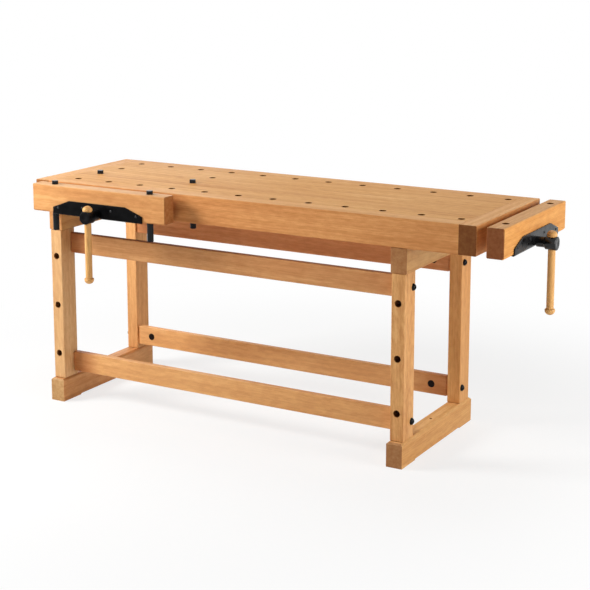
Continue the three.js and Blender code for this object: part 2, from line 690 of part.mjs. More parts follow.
function buildVise(name, sizes) {
  const { jawLength, jawThickness, gap, travel, wall, bracketSetback, dogPlaces } = sizes;
  const group = new THREE.Group();
  const add = (piece, shape, finish) => place(group, `${name}_vise_${piece}`, shape, finish);
  const jawFace = -gap - jawThickness;
  const plateFace = jawFace - seam - plateThickness;
  const headFront = plateFace - headReach;
  const bracketFront = wall + seam + bracketSetback;
  const rodEnd = bracketFront + bracketLength + travel + rodSpare;

  add('jaw', jawShape(jawLength, jawFace, jawThickness, dogPlaces), beech);
  const rodHoles = [-1, 1].map((side) => bore(
    'y', { x: side * guideSpacing / 2, z: screwHeight }, guideRodDiameter / 2 + seam,
    plateFace - seam, jawFace + plateBend,
  ));
  const plate = rodHoles.reduce((steel, hole) => steel.subtract(hole), plateShape(jawFace));
  add('plate', plate, blackSteel);
  for (const [side, x] of [['left', -guideSpacing / 2], ['right', guideSpacing / 2]]) {
    const guide = rod('y', { x, z: screwHeight }, guideRodDiameter / 2, plateFace, rodEnd);
    add(`guide_rod_${side}`, guide, brightSteel);
  }
  const onAxis = { x: 0, z: screwHeight };
  const screwStart = headFront + handleSetback + handleDiameter + seam;
  add('screw', rod('y', onAxis, screwDiameter / 2, screwStart, rodEnd), brightSteel);
  add('head', headShape(headFront, plateFace - seam), blackSteel);
  const clipBack = jawFace + clipThickness;
  const clipHole = bore('y', onAxis, screwDiameter / 2 + seam, jawFace - seam, clipBack + seam);
  const clip = rod('y', onAxis, clipDiameter / 2, jawFace, clipBack).subtract(clipHole);
  add('clip', clip, brightSteel);
  const { bar, loose } = handleShapes();
  const handlePlace = [0, headFront + handleSetback, screwHeight];
  add('handle', bar.translate(handlePlace), paleWood);
  add('knob', loose.translate(handlePlace), paleWood);
  add('bracket', bracketShape(bracketFront), blackSteel);
  return group;
}

function buildVises() {
  const front = buildVise('front', {
    jawLength: frontJawLength,
    jawThickness: frontJawThickness,
    gap: frontJawGap,
    travel: frontJawTravel,
    wall: frontApronThickness,
    bracketSetback: dogBoardWidth, // so that dogs can drop through the front row
    dogPlaces: [leftDogLine - frontViseX, rightDogLine - frontViseX],
  });
  front.position.set(frontViseX, -topDepth / 2, 0);
  const end = buildVise('end', {
    jawLength: topDepth,
    jawThickness: endJawThickness,
    gap: endJawGap,
    travel: endJawTravel,
    wall: endCapThickness,
    bracketSetback: 0,
    dogPlaces: [frontDogRow, rearDogRow],
  });
  end.position.set(topLength / 2, 0, 0);
  end.rotation.z = THREE.MathUtils.degToRad(quarterTurnDegrees);
  bench.add(front, end);
}

buildTop();
buildTrestle('left', leftTrestleX);
buildTrestle('right', rightTrestleX);
buildStretchers();
buildDogs();
buildVises();

const middle = new THREE.Box3().setFromObject(bench, true).getCenter(new THREE.Vector3());
bench.position.set(-middle.x, -middle.y, 0);

const part = new THREE.Group();
part.add(bench);

export default part;
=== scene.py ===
"""Woodworking bench with a front vise and an end vise: finishes, fine pieces, light and camera.

Metres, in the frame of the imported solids: +X towards the end vise, the front at -Y, +Z up. Groups of
sizes that are written in millimetres say so.
"""

import math

import bpy
import numpy as np
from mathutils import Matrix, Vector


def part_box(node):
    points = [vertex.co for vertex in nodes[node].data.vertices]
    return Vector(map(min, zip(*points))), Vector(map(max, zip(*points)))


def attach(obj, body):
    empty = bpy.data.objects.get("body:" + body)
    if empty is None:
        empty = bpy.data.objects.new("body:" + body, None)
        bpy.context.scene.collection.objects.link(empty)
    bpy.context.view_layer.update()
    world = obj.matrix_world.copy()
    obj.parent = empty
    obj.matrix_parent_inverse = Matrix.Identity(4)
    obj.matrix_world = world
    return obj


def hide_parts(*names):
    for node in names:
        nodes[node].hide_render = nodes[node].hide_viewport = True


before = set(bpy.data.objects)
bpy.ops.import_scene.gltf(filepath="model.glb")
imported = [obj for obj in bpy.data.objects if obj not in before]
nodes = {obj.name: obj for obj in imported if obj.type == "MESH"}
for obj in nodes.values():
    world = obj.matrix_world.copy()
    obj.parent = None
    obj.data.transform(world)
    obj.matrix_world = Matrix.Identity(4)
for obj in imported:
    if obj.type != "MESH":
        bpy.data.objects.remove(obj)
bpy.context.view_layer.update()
luck = np.random.default_rng(11)

MM = 0.001
FULL_TURN = 2 * math.pi
WHITE = (1.0, 1.0, 1.0, 1.0)


# Colours

def colour(red, green, blue):
    """A display colour, 0 to 255, as the linear values that a shader takes."""
    shown = np.array([red, green, blue]) / 255
    linear = np.where(shown <= 0.04045, shown / 12.92, ((shown + 0.055) / 1.055) ** 2.4)
    return (*linear.tolist(), 1.0)


def tinted(tone, tint):
    """A linear colour with its red, green and blue each times a share."""
    return (*[channel * share for channel, share in zip(tone, tint)], 1.0)


def darker(tone, share):
    """A linear colour times one share of its light."""
    return tinted(tone, (share, share, share))


class Finish:
    """A material in the making. Most methods add a node or a few and give back an output."""

    def __init__(self, name):
        self.material = bpy.data.materials.new(name)
        self.material.use_nodes = True
        tree = self.material.node_tree
        self.nodes, self.links = tree.nodes, tree.links
        self.nodes.clear()
        self.shader = self.nodes.new("ShaderNodeBsdfPrincipled")
        self.surface = self.nodes.new("ShaderNodeOutputMaterial")
        self.links.new(self.shader.outputs[0], self.surface.inputs[0])
        self.place = self.nodes.new("ShaderNodeTexCoord")

    def feed(self, socket, value):
        """Links an output to a socket, or sets the socket to a plain value."""
        if isinstance(value, bpy.types.NodeSocket):
            self.links.new(value, socket)
        else:
            socket.default_value = value

    def set(self, **sockets):
        """Values or outputs for the shader's own sockets, with _ for a space."""
        for name, value in sockets.items():
            self.feed(self.shader.inputs[name.replace("_", " ")], value)

    def math(self, operation, first, second=0.0):
        """One step of arithmetic."""
        made = self.nodes.new("ShaderNodeMath")
        made.operation = operation
        self.feed(made.inputs[0], first)
        self.feed(made.inputs[1], second)
        return made.outputs[0]

    def sum(self, *terms):
        """The sum of (output, weight) terms."""
        total = self.math("MULTIPLY", *terms[0])
        for output, weight in terms[1:]:
            total = self.math("ADD", total, self.math("MULTIPLY", output, weight))
        return total

    def distance(self, first, second):
        """The root of the sum of two squares."""
        squares = self.math("ADD", self.math("POWER", first, 2.0), self.math("POWER", second, 2.0))
        return self.math("SQRT", squares)

    def spread(self, value, low, high, to_low=0.0, to_high=1.0):
        """The range low to high of a value drawn out smoothly to another range."""
        made = self.nodes.new("ShaderNodeMapRange")
        made.interpolation_type = "SMOOTHSTEP"
        for socket, given in zip(made.inputs, (value, low, high, to_low, to_high)):
            self.feed(socket, given)
        return made.outputs[0]

    def split(self, vector):
        """The three parts of a vector, by axis."""
        made = self.nodes.new("ShaderNodeSeparateXYZ")
        self.feed(made.inputs[0], vector)
        return dict(zip("xyz", made.outputs))

    def vector(self, *parts):
        """A vector from (output, scale) parts."""
        made = self.nodes.new("ShaderNodeCombineXYZ")
        for socket, (output, scale) in zip(made.inputs, parts):
            self.feed(socket, self.math("MULTIPLY", output, scale))
        return made.outputs[0]

    def noise(self, vector, scale=1.0, detail=2.0):
        """A cloudy noise. The scale is the number of clouds to a unit."""
        made = self.nodes.new("ShaderNodeTexNoise")
        self.feed(made.inputs["Vector"], vector)
        made.inputs["Scale"].default_value = scale
        made.inputs["Detail"].default_value = detail
        return made.outputs[0]

    def cells(self, vector):
        """Distance to the nearest of the scattered points, one to a unit cell."""
        made = self.nodes.new("ShaderNodeTexVoronoi")
        self.feed(made.inputs["Vector"], vector)
        made.inputs["Scale"].default_value = 1.0
        return made.outputs["Distance"]

    def chance(self, number):
        """Three chance values from 0 to 1 for a whole number."""
        made = self.nodes.new("ShaderNodeTexWhiteNoise")
        made.noise_dimensions = "1D"
        self.feed(made.inputs["W"], number)
        return self.split(made.outputs["Color"])

    def ramp(self, value, *stops):
        """Colours or grey levels at places from 0 to 1, blended between."""
        made = self.nodes.new("ShaderNodeValToRGB")
        self.feed(made.inputs[0], value)
        scale = made.color_ramp
        while len(scale.elements) < len(stops):
            scale.elements.new(0.5)
        for element, (place, tone) in zip(scale.elements, stops):
            element.position = place
            element.color = tone if isinstance(tone, tuple) else (tone, tone, tone, 1.0)
        return made.outputs[0]

    def mix(self, share, first, second, way="MIX"):
        """Two colours mixed. Inputs 6 and 7 and output 2 are the node's colour sockets."""
        made = self.nodes.new("ShaderNodeMix")
        made.data_type = "RGBA"
        made.blend_type = way
        self.feed(made.inputs[0], share)
        self.feed(made.inputs[6], first)
        self.feed(made.inputs[7], second)
        return made.outputs[2]

    def washed(self, base, share, tint):
        """A colour mixed, by a share, with the same colour times a tint."""
        return self.mix(share, base, self.mix(1.0, base, (*tint, 1.0), "MULTIPLY"))

    def relief(self, height, strength, depth):
        """A fine unevenness of the surface."""
        made = self.nodes.new("ShaderNodeBump")
        made.inputs["Strength"].default_value = strength
        made.inputs["Distance"].default_value = depth
        self.feed(made.inputs["Height"], height)
        self.links.new(made.outputs[0], self.shader.inputs["Normal"])


# Wood, with its tones from pale to dark

GRAIN_ORDER = {"x": "xyz", "y": "yxz", "z": "zxy"}
BEECH = (colour(226, 172, 113), colour(212, 153, 94), colour(188, 124, 70))
PALE_BEECH = (colour(232, 184, 120), colour(214, 163, 98), colour(184, 128, 72))
PLAIN = (1.0, 1.0, 1.0)
END_GRAIN = (0.6, 0.48, 0.36)
# Tint of the redder stretches: a redder tone of the wood, and painted shade near the legs.
RED_TONE_AND_SHADE = (0.7, 0.54, 0.46)
RINGS_PER_METRE, RING_WARP = 230, 30 * MM
GRAIN_RELIEF = 0.4 * MM

# What chance changes from stave to stave: the pith's place, the start of the streaks and the tone
STAVE_ACROSS, STAVE_DEEP, STAVE_START, STAVE_TONE = 160 * MM, 70 * MM, 5.0, 0.16


def timber(name, grain, pith, tones=BEECH, tint=PLAIN, end_tint=END_GRAIN, top_sheen_and_shade=PLAIN,
           stave=None, figure=0.18, red_tone_and_shade=(), gloss=0.3, lacquer=0.0):
    """Wood as a solid. Growth rings are cylinders round a pith line that runs along the grain, bent by
    a slow noise. Streaks, fine lines, fibres and short flecks are noises drawn out along the grain, and
    the figure is a noise that leans across it. Faces cut across the grain are darker and redder. Faces
    that look up take a tint of their own: a painted sheen that makes them paler, and on some pieces
    painted shade that makes them darker. With a stave width, each strip across has rings and a tone of
    its own. Between the two places of each pair of redder stretches a redder, darker tint runs out: on
    some stretchers a redder tone, near the legs painted shade."""
    f = Finish(name)
    here = f.split(f.place.outputs["Object"])
    along, across, deep = (here[axis] for axis in GRAIN_ORDER[grain])
    off_across = f.math("SUBTRACT", across, pith[0])
    off_deep = f.math("SUBTRACT", deep, pith[1])
    shades = []
    if stave:
        count = f.math("FLOOR", f.math("DIVIDE", off_across, stave))
        own = f.chance(count)
        off_across = f.math("SUBTRACT", off_across, f.math("MULTIPLY", count, stave))
        off_across = f.math("ADD", off_across, f.math("MULTIPLY", own["x"], STAVE_ACROSS))
        off_deep = f.math("ADD", off_deep, f.math("MULTIPLY", own["y"], STAVE_DEEP))
        along = f.math("ADD", along, f.math("MULTIPLY", own["z"], STAVE_START))
        shades.append((own["x"], STAVE_TONE))

    def drawn_out(lengthwise, crosswise, way=along):
        """A place in the wood, scaled to so many units to the metre along the grain and across it."""
        return f.vector((way, lengthwise), (across, crosswise), (deep, crosswise))

    warp = f.noise(drawn_out(1.3, 8.0))
    off_pith = f.math("ADD", f.distance(off_across, off_deep), f.math("MULTIPLY", warp, RING_WARP))
    growth = f.math("FRACT", f.math("MULTIPLY", off_pith, RINGS_PER_METRE))
    rings = f.ramp(growth, (0.0, 0.1), (0.55, 0.3), (0.88, 1.0), (1.0, 0.1))
    streaks = f.spread(f.noise(drawn_out(1.9, 60.0), detail=3.0), 0.25, 0.75)
    lines = f.spread(f.noise(drawn_out(7.0, 300.0)), 0.3, 0.7)
    fibres = f.noise(drawn_out(28.0, 1000.0))
    broad = f.spread(f.noise(drawn_out(1.1, 7.0), detail=1.0), 0.25, 0.75)
    flecks = f.spread(f.cells(drawn_out(120.0, 560.0)), 0.12, 0.3, 1.0, 0.0)
    leaning = f.math("ADD", along, f.math("MULTIPLY", across, 0.9))
    curls = f.spread(f.noise(drawn_out(27.0, 110.0, leaning)), 0.3, 0.7)
    shades += [(streaks, 0.26), (lines, 0.1), (rings, 0.14), (broad, 0.2), (fibres, 0.16), (curls, figure)]

    pale, middling, dark = (tinted(tone, tint) for tone in tones)
    wood = f.ramp(f.sum(*shades), (0.2, pale), (0.45, middling), (0.85, dark))
    wood = f.mix(f.math("MULTIPLY", flecks, 0.3), wood, darker(dark, 0.55))
    for full, none in red_tone_and_shade:
        wood = f.washed(wood, f.spread(along, full, none, 1.0, 0.0), RED_TONE_AND_SHADE)
    facing = f.split(f.place.outputs["Normal"])
    ends = f.spread(f.math("ABSOLUTE", facing[grain]), 0.5, 0.75)
    wood = f.washed(wood, ends, end_tint)
    wood = f.washed(wood, f.spread(facing["z"], 0.55, 0.85), top_sheen_and_shade)
    polish = f.sum((streaks, 0.35), (fibres, 0.3), (ends, 0.35))
    f.set(Base_Color=wood, Roughness=f.spread(polish, 0.0, 1.0, 0.46, 0.74))
    f.set(Specular_IOR_Level=gloss, Coat_Weight=lacquer, Coat_Roughness=0.16)
    f.relief(f.sum((rings, 0.3), (fibres, 0.6), (flecks, -0.5)), 0.22, GRAIN_RELIEF)
    return f.material


# Paint and steel

CLOUDS_PER_METRE, PEEL_PER_METRE, PEEL_RELIEF = 38.0, 1400.0, 0.25 * MM
SCRATCHES_ALONG, SCRATCHES_ACROSS, SCRATCH_RELIEF = 20.0, 1800.0, 0.2 * MM
STAINS_PER_METRE = 30.0
STEEL, STEEL_ROUGH = colour(172, 174, 178), 0.22


def painted(name, dark, light, rough, gloss):
    """Satin paint: a fine orange-peel relief, with slow changes of tone and gloss."""
    f = Finish(name)
    here = f.place.outputs["Object"]
    cloud = f.spread(f.noise(here, CLOUDS_PER_METRE, 3.0), 0.3, 0.7)
    f.set(Base_Color=f.ramp(cloud, (0.0, dark), (1.0, light)))
    f.set(Roughness=f.spread(cloud, 0.0, 1.0, rough - 0.05, rough + 0.07), Specular_IOR_Level=gloss)
    f.relief(f.noise(here, PEEL_PER_METRE), 0.18, PEEL_RELIEF)
    return f.material


def ground_steel(name, along):
    """Bare steel, ground along one axis: fine scratches drawn out along it, and faint stains."""
    f = Finish(name)
    here = f.split(f.place.outputs["Object"])
    stretch = [(here[axis], SCRATCHES_ALONG if axis == along else SCRATCHES_ACROSS) for axis in "xyz"]
    scratches = f.noise(f.vector(*stretch), detail=3.0)
    stains = f.spread(f.noise(f.place.outputs["Object"], STAINS_PER_METRE, 3.0), 0.35, 0.7)
    wear = f.sum((scratches, 0.6), (stains, 0.4))
    f.set(Base_Color=f.ramp(stains, (0.0, STEEL), (1.0, darker(STEEL, 0.72))))
    f.set(Metallic=1.0, Roughness=f.spread(wear, 0.0, 1.0, STEEL_ROUGH, STEEL_ROUGH + 0.3))
    f.relief(scratches, 0.12, SCRATCH_RELIEF)
    return f.material


front_paint = painted("front_vise_paint", colour(5, 5, 6), colour(10, 10, 11), 0.36, 0.05)
front_cast = painted("front_vise_cast", colour(6, 6, 7), colour(12, 12, 13), 0.36, 0.07)
end_paint = painted("end_vise_paint", colour(6, 6, 7), colour(11, 11, 12), 0.28, 0.34)
end_cast = painted("end_vise_cast", colour(6, 6, 7), colour(12, 12, 13), 0.26, 0.36)
dog_black = painted("dog_black", colour(9, 11, 14), colour(15, 18, 22), 0.32, 0.2)
bolt_black = painted("bolt_black", colour(7, 8, 10), colour(12, 14, 18), 0.28, 0.12)
cap_black = painted("cap_black", colour(18, 12, 10), colour(29, 19, 15), 0.4, 0.07)
screw_black = painted("screw_black", colour(20, 21, 23), colour(32, 33, 36), 0.3, 0.3)
steel_along_y = ground_steel("ground_steel_front", "y")
steel_along_x = ground_steel("ground_steel_end", "x")
handle_wood = timber(
    "handle_wood", "z", (0.05, 0.02), PALE_BEECH, tint=(1.14, 1.13, 1.06), end_tint=(0.86, 0.83, 0.79),
    lacquer=0.2,
)
# Dark wood of the bores: painted shade inside the holes and in rings round their mouths.
bore_painted_shade = timber("bore_painted_shade", "x", (0.05, 0.7), tint=(0.21, 0.14, 0.06), gloss=0.05)
leg_bore_painted_shade = timber("leg_bore_painted_shade", "z", (0.05, 0.7), tint=(0.45, 0.40, 0.34), gloss=0.05)


# Wood of the boards, legs and jaws

BOARD_STAVE = 62 * MM
FRAME_GLOSS = 0.14
TOP_BOARD = dict(grain="x", tint=(1.10, 1.20, 1.26), gloss=0.05)
# The stretchers' ends and the chamfers round them are darkened far past end grain: painted shade where they
# meet the legs.
STRETCHER_END_SHADE = (0.3, 0.2, 0.14)

# Up-facing faces are lightened by a painted sheen on the aprons, end caps, jaws and right foot, and
# darkened by painted shade on the front upper stretcher.
TIMBERS = {
    "top_front_apron": dict(
        grain="x", tint=(1.03, 0.93, 0.87), top_sheen_and_shade=(1.05, 1.22, 1.31), gloss=FRAME_GLOSS,
    ),
    "top_rear_apron": dict(
        grain="x", tint=(1.01, 0.95, 0.89), top_sheen_and_shade=(1.07, 1.20, 1.30), gloss=FRAME_GLOSS,
    ),
    "top_left_end_cap": dict(
        grain="y", tint=(1.00, 0.94, 0.88), end_tint=(0.50, 0.40, 0.30), top_sheen_and_shade=(1.08, 1.20, 1.32),
        gloss=FRAME_GLOSS,
    ),
    "top_right_end_cap": dict(
        grain="y", tint=(0.99, 0.94, 0.90), end_tint=(0.32, 0.24, 0.17), top_sheen_and_shade=(1.09, 1.20, 1.27),
        gloss=FRAME_GLOSS,
    ),
    "top_front_dog_board": TOP_BOARD,
    "top_rear_dog_board": TOP_BOARD,
    "top_board_1": dict(TOP_BOARD, stave=BOARD_STAVE),
    "top_board_2": dict(TOP_BOARD, stave=BOARD_STAVE),
    "front_vise_jaw": dict(
        grain="x", tint=(1.01, 0.98, 0.95), end_tint=(0.63, 0.52, 0.42), top_sheen_and_shade=(1.06, 1.27, 1.65),
        gloss=0.2,
    ),
    "end_vise_jaw": dict(
        grain="y", tint=(1.13, 1.09, 0.84), end_tint=(0.36, 0.25, 0.28), top_sheen_and_shade=(0.88, 0.98, 1.35),
        gloss=0.15,
    ),
    "front_upper_stretcher": dict(
        # Its top face is darkened as painted shade under the bench top, and its left end as painted shade
        # of the leg.
        grain="x", tint=(0.88, 0.84, 0.82), end_tint=STRETCHER_END_SHADE, top_sheen_and_shade=(0.5, 0.45, 0.42),
        red_tone_and_shade=((-0.85, -0.83), (1.3, 0.3)),
    ),
    "rear_upper_stretcher": dict(grain="x", tint=(0.96, 0.81, 0.82), end_tint=STRETCHER_END_SHADE),
    "front_lower_stretcher": dict(
        # The darker, redder stretch at its left end is painted shade of the leg.
        grain="x", tint=(1.08, 1.12, 1.13), end_tint=STRETCHER_END_SHADE, red_tone_and_shade=((-0.86, -0.77),),
    ),
    "rear_lower_stretcher": dict(
        grain="x", tint=(1.12, 1.18, 1.24), end_tint=STRETCHER_END_SHADE, red_tone_and_shade=((0.51, 0.34),),
    ),
    "left_front_leg": dict(grain="z", tint=(1.05, 1.26, 1.55)),
    "left_rear_leg": dict(grain="z", tint=(1.07, 1.09, 1.09)),
    "right_front_leg": dict(grain="z", tint=(1.09, 1.14, 1.10), figure=0.34),
    "right_rear_leg": dict(grain="z", tint=(1.10, 1.12, 1.03)),
    "left_foot": dict(grain="y", tint=(0.94, 0.93, 0.93), end_tint=(0.84, 1.02, 1.17)),
    "right_foot": dict(
        grain="y", tint=(1.01, 1.04, 0.93), end_tint=(0.58, 0.53, 0.60), top_sheen_and_shade=(1.20, 1.33, 1.55),
        gloss=0.25,
    ),
    "left_top_rail": dict(grain="y", tint=(1.01, 1.14, 1.09), end_tint=(0.88, 0.76, 0.76)),
    "right_top_rail": dict(grain="y", tint=(1.01, 1.14, 1.09), end_tint=(0.62, 0.51, 0.50)),
}

# Where the pith may lie: its angle below the piece as a share of half a turn, and its distance
PITH_ANGLE, PITH_REACH = (0.15, 0.85), (0.05, 0.16)


def coat(node, material):
    """Gives a solid of the frame its finish."""
    nodes[node].data.materials.clear()
    nodes[node].data.materials.append(material)


for node, wood in TIMBERS.items():
    low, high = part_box(node)
    middle = dict(zip("xyz", (low + high) / 2))
    _, across, deep = GRAIN_ORDER[wood["grain"]]
    angle = luck.uniform(*PITH_ANGLE) * math.pi
    reach = luck.uniform(*PITH_REACH)
    pith = (middle[across] + reach * math.cos(angle), middle[deep] - reach * math.sin(angle))
    coat(node, timber(f"beech_{node}", pith=pith, **wood))


# Shapes: each is a pair of corners, as rows of an array, and faces

def weld(points, quads):
    """Corners at one place become one corner, and a quad that loses a side becomes a triangle."""
    _, first, same = np.unique(np.round(points, 7), axis=0, return_index=True, return_inverse=True)
    quads = same.reshape(-1)[quads]
    kept = quads != np.roll(quads, -1, axis=1)
    whole = quads[kept.all(axis=1)]
    short = kept.sum(axis=1) == 3
    triangles = quads[short][kept[short]].reshape(-1, 3)
    return points[first], whole.tolist() + triangles.tolist()


def angles(sides):
    """The angles of the columns of a turned skin."""
    return np.arange(sides) * FULL_TURN / sides


def turned(rows, sides=64, loop=False):
    """A turned skin: corner (i, j) is (r cos t, r sin t, h), with the radius r and the height h of row
    i at the angle t of column j. Either may be one value or one for every column. Rows run so that the
    outside faces out; with loop the last row joins the first."""
    radius, height = (
        np.array([np.broadcast_to(value, sides) for value in column], float) for column in zip(*rows)
    )
    turn = angles(sides)
    points = np.stack([radius * np.cos(turn), radius * np.sin(turn), height], -1).reshape(-1, 3)
    count = len(radius)
    row = np.arange(count if loop else count - 1)[:, None]
    above = (row + 1) % count
    column = np.arange(sides)
    beside = (column + 1) % sides
    quads = np.stack([
        row * sides + column, row * sides + beside, above * sides + beside, above * sides + column,
    ], -1)
    return weld(points, quads.reshape(-1, 4))


def in_mm(*corners):
    """Rows of a profile from (radius, height) corners in millimetres."""
    return np.array(corners, float) * MM


def moved(shape, step):
    """A shape moved by a step along X, Y and Z."""
    points, faces = shape
    return points + np.asarray(step, float), faces


def lying(shape, axis):
    """A shape on the Z axis laid along a given axis, by changing the axes round in turn."""
    points, faces = shape
    order = {"x": [2, 0, 1], "y": [1, 2, 0], "z": [0, 1, 2]}[axis]
    return points[:, order], faces


def half_turned(shape):
    """A shape turned by half a turn about the Z axis."""
    points, faces = shape
    return points * np.array([-1.0, -1.0, 1.0]), faces


def gathered(shapes):
    """Several shapes as one: each one's corners are counted on from those before it."""
    starts = np.cumsum([0] + [len(points) for points, _ in shapes[:-1]]).tolist()
    faces = [
        [corner + start for corner in face]
        for start, (_, own_faces) in zip(starts, shapes)
        for face in own_faces
    ]
    return np.concatenate([points for points, _ in shapes]), faces


def put(name, shape, material, body, stands_for=(), sharp=38):
    """A shape as a piece of the scene that moves with a body of the frame. Edges that bend by more
    than so many degrees are sharp."""
    points, faces = shape
    mesh = bpy.data.meshes.new(name)
    mesh.from_pydata(points.tolist(), [], faces)
    mesh.materials.append(material)
    mesh.shade_smooth()
    mesh.set_sharp_from_angle(angle=math.radians(sharp))
    piece = bpy.data.objects.new(name, mesh)
    bpy.context.scene.collection.objects.link(piece)
    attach(piece, body)
    if stands_for:
        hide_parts(*stands_for)
    return piece


def middle_of(node):
    """The middle of a solid's box."""
    low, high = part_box(node)
    return np.array((low + high) / 2)


# Dogs: a round shank whose head has one flat

DOG_RADIUS, DOG_FLAT, DOG_HEAD, DOG_EASE = 12.2 * MM, 10.0 * MM, 24.0 * MM, 1.2 * MM
LEAST_LEAN = 0.05


def dog(length, flat_angle):
    """A turned shank; above the head's foot the radius is the lesser of the round and of the flat,
    which lies at flat / cos(angle from the flat's middle)."""
    sides = 96
    lean = np.cos(angles(sides) - flat_angle)
    head = np.minimum(DOG_RADIUS, DOG_FLAT / np.maximum(lean, LEAST_LEAN))
    foot = length - DOG_HEAD
    return turned([
        (0, 0), (DOG_RADIUS - DOG_EASE, 0), (DOG_RADIUS, DOG_EASE), (DOG_RADIUS, foot), (head, foot),
        (head, length - DOG_EASE), (head - DOG_EASE, length), (0, length),
    ], sides)


for name in ("bench_dog_left", "bench_dog_right", "jaw_dog_left", "jaw_dog_right"):
    low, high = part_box(name)
    middle = middle_of(name)
    facing = -math.pi / 2 if name.startswith("bench") else math.pi / 2
    shape = moved(dog(high.z - low.z, facing), (middle[0], middle[1], low.z))
    put(f"{name}_turned", shape, dog_black, name, [name])


# Bolts with domed heads and hexagon sockets, and the caps of the barrel nuts

BOLT_SHANK, BOLT_EASE = 5.0 * MM, 0.8 * MM
BOLT_HEAD, BOLT_HEAD_EASE, BOLT_RIM, BOLT_DOME = 13.2 * MM, 0.5 * MM, 0.8 * MM, 11.0 * MM
SOCKET, SOCKET_BEVEL, SOCKET_LIP, SOCKET_ROUND = 3.5 * MM, 0.25 * MM, 0.3 * MM, 5.0 * MM
SOCKET_DEPTH, SOCKET_TIP = 4.0 * MM, 4.6 * MM
SOLID_HEAD = 7.0 * MM


def bolt(shank):
    """A turned bolt, head up. The dome is part of a sphere, and the socket's rim is a hexagon:
    its radius is the half width across the flats over the cosine of the angle from a flat."""
    sides, flat = 72, FULL_TURN / 6
    hexagon = SOCKET / np.cos((angles(sides) + flat / 2) % flat - flat / 2)
    rise = BOLT_DOME - BOLT_RIM
    sphere = (BOLT_HEAD ** 2 + rise ** 2) / (2 * rise)

    def over(radius):
        """The dome's height at a radius."""
        return BOLT_DOME - sphere + np.sqrt(sphere ** 2 - radius ** 2)

    dome = [(radius, over(radius)) for radius in np.linspace(BOLT_HEAD, SOCKET_ROUND, 9)[1:]]
    return turned([
        (0, -shank), (BOLT_SHANK - BOLT_EASE, -shank), (BOLT_SHANK, BOLT_EASE - shank), (BOLT_SHANK, 0),
        (BOLT_HEAD - BOLT_HEAD_EASE, 0), (BOLT_HEAD, BOLT_RIM / 2), (BOLT_HEAD, BOLT_RIM), *dome,
        (hexagon + SOCKET_BEVEL, over(hexagon + SOCKET_BEVEL)), (hexagon, over(hexagon) - SOCKET_LIP),
        (hexagon, BOLT_DOME - SOCKET_DEPTH), (0, BOLT_DOME - SOCKET_TIP),
    ], sides)


def nut_cap():
    """A turned cap: a thin flange and a raised rim round a shallow dish with a small pip in the
    middle. The dark flange stands for the shaded rim of the bore round the cap: painted shade."""
    return turned(in_mm(
        (0, -3), (12.35, -3), (12.4, 0.05), (14.2, 0.05), (14.4, 0.3), (14, 0.7), (12.4, 0.9), (12, 1.2),
        (11.2, 1.2), (10.6, 0.6), (4, -0.2), (3.4, 0.1), (2.6, 0.3), (0, 0.35),
    ))


def set_bolt(side, place):
    """A bolt in its solid's place, with its head on the outer face of the leg. SOLID_HEAD is the height
    of the solid's own head."""
    low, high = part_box(f"bolt_{place}")
    shape = lying(bolt(high.x - low.x - SOLID_HEAD), "x")
    seat = high.x - SOLID_HEAD
    if side == "left":
        shape = half_turned(shape)
        seat = low.x + SOLID_HEAD
    _, y, z = middle_of(f"bolt_{place}")
    put(f"bolt_{place}_turned", moved(shape, (seat, y, z)), bolt_black, "bench",
        [f"bolt_{place}"])


def set_nut_cap(row, place):
    """A cap on the inner face of a stretcher, over the end of its barrel nut."""
    coat(f"barrel_nut_{place}", cap_black)
    low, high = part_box(f"barrel_nut_{place}")
    cap, face = lying(nut_cap(), "y"), high.y
    if row == "rear":
        cap, face = half_turned(cap), low.y
    x, _, z = middle_of(f"barrel_nut_{place}")
    put(f"nut_cap_{place}", moved(cap, (x, face, z)), cap_black, "bench")


for side in ("left", "right"):
    for row in ("front", "rear"):
        for level in ("upper", "lower"):
            set_bolt(side, f"{side}_{row}_{level}")
            set_nut_cap(row, f"{side}_{row}_{level}")


# Round linings of the drilled holes, with the sleeve's sizes in millimetres. Their dark wood is painted
# shade inside the holes.

HOLE, SLEEVE_WALL, MOUTH_BEVEL, MOUTH_PROUD = 12.4, 1.0, 0.4, 0.04
HOLES_IN_ROW, HOLES_FROM_DOG_TO_DOG = 12, 3
ROW_SPACING = 142 * MM
LOWEST_LEG_HOLE, LEG_HOLE_SPACING, LEG_HOLES = 195 * MM, 200 * MM, 3


def lining(length):
    """A thin turned sleeve with a small bevel at both mouths, sunk into the wood round it. Its wall stands
    just proud at both mouths and shows round the hole as a dark ring of painted shade.
    """
    reach = length / MM
    mouth, outside = HOLE + MOUTH_BEVEL, HOLE + SLEEVE_WALL
    return turned(in_mm(
        (HOLE, MOUTH_BEVEL), (mouth, -MOUTH_PROUD), (outside, -MOUTH_PROUD), (outside, reach + MOUTH_PROUD),
        (mouth, reach + MOUTH_PROUD), (HOLE, reach - MOUTH_BEVEL),
    ), loop=True)


def linings(name, node, axis, places, body, material=bore_painted_shade):
    """Sleeves right through a solid along one axis, at places on the two other axes."""
    low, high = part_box(node)
    at = "xyz".index(axis)
    sleeve = lying(lining(high[at] - low[at]), axis)
    shapes = [moved(sleeve, np.insert(np.asarray(place, float), at, low[at])) for place in places]
    put(name, gathered(shapes), material, body)


dog_left, dog_row, _ = middle_of("bench_dog_left")
dog_right, _, _ = middle_of("bench_dog_right")
_, jaw_dog_row, _ = middle_of("jaw_dog_left")
end_jaw_line, _, _ = middle_of("end_vise_jaw")
dog_lines = (dog_left, dog_right)
row_lines = dog_left + (dog_right - dog_left) / HOLES_FROM_DOG_TO_DOG * np.arange(HOLES_IN_ROW)
front_row, *middle_rows, rear_row = dog_row + ROW_SPACING * np.arange(-1, 3)

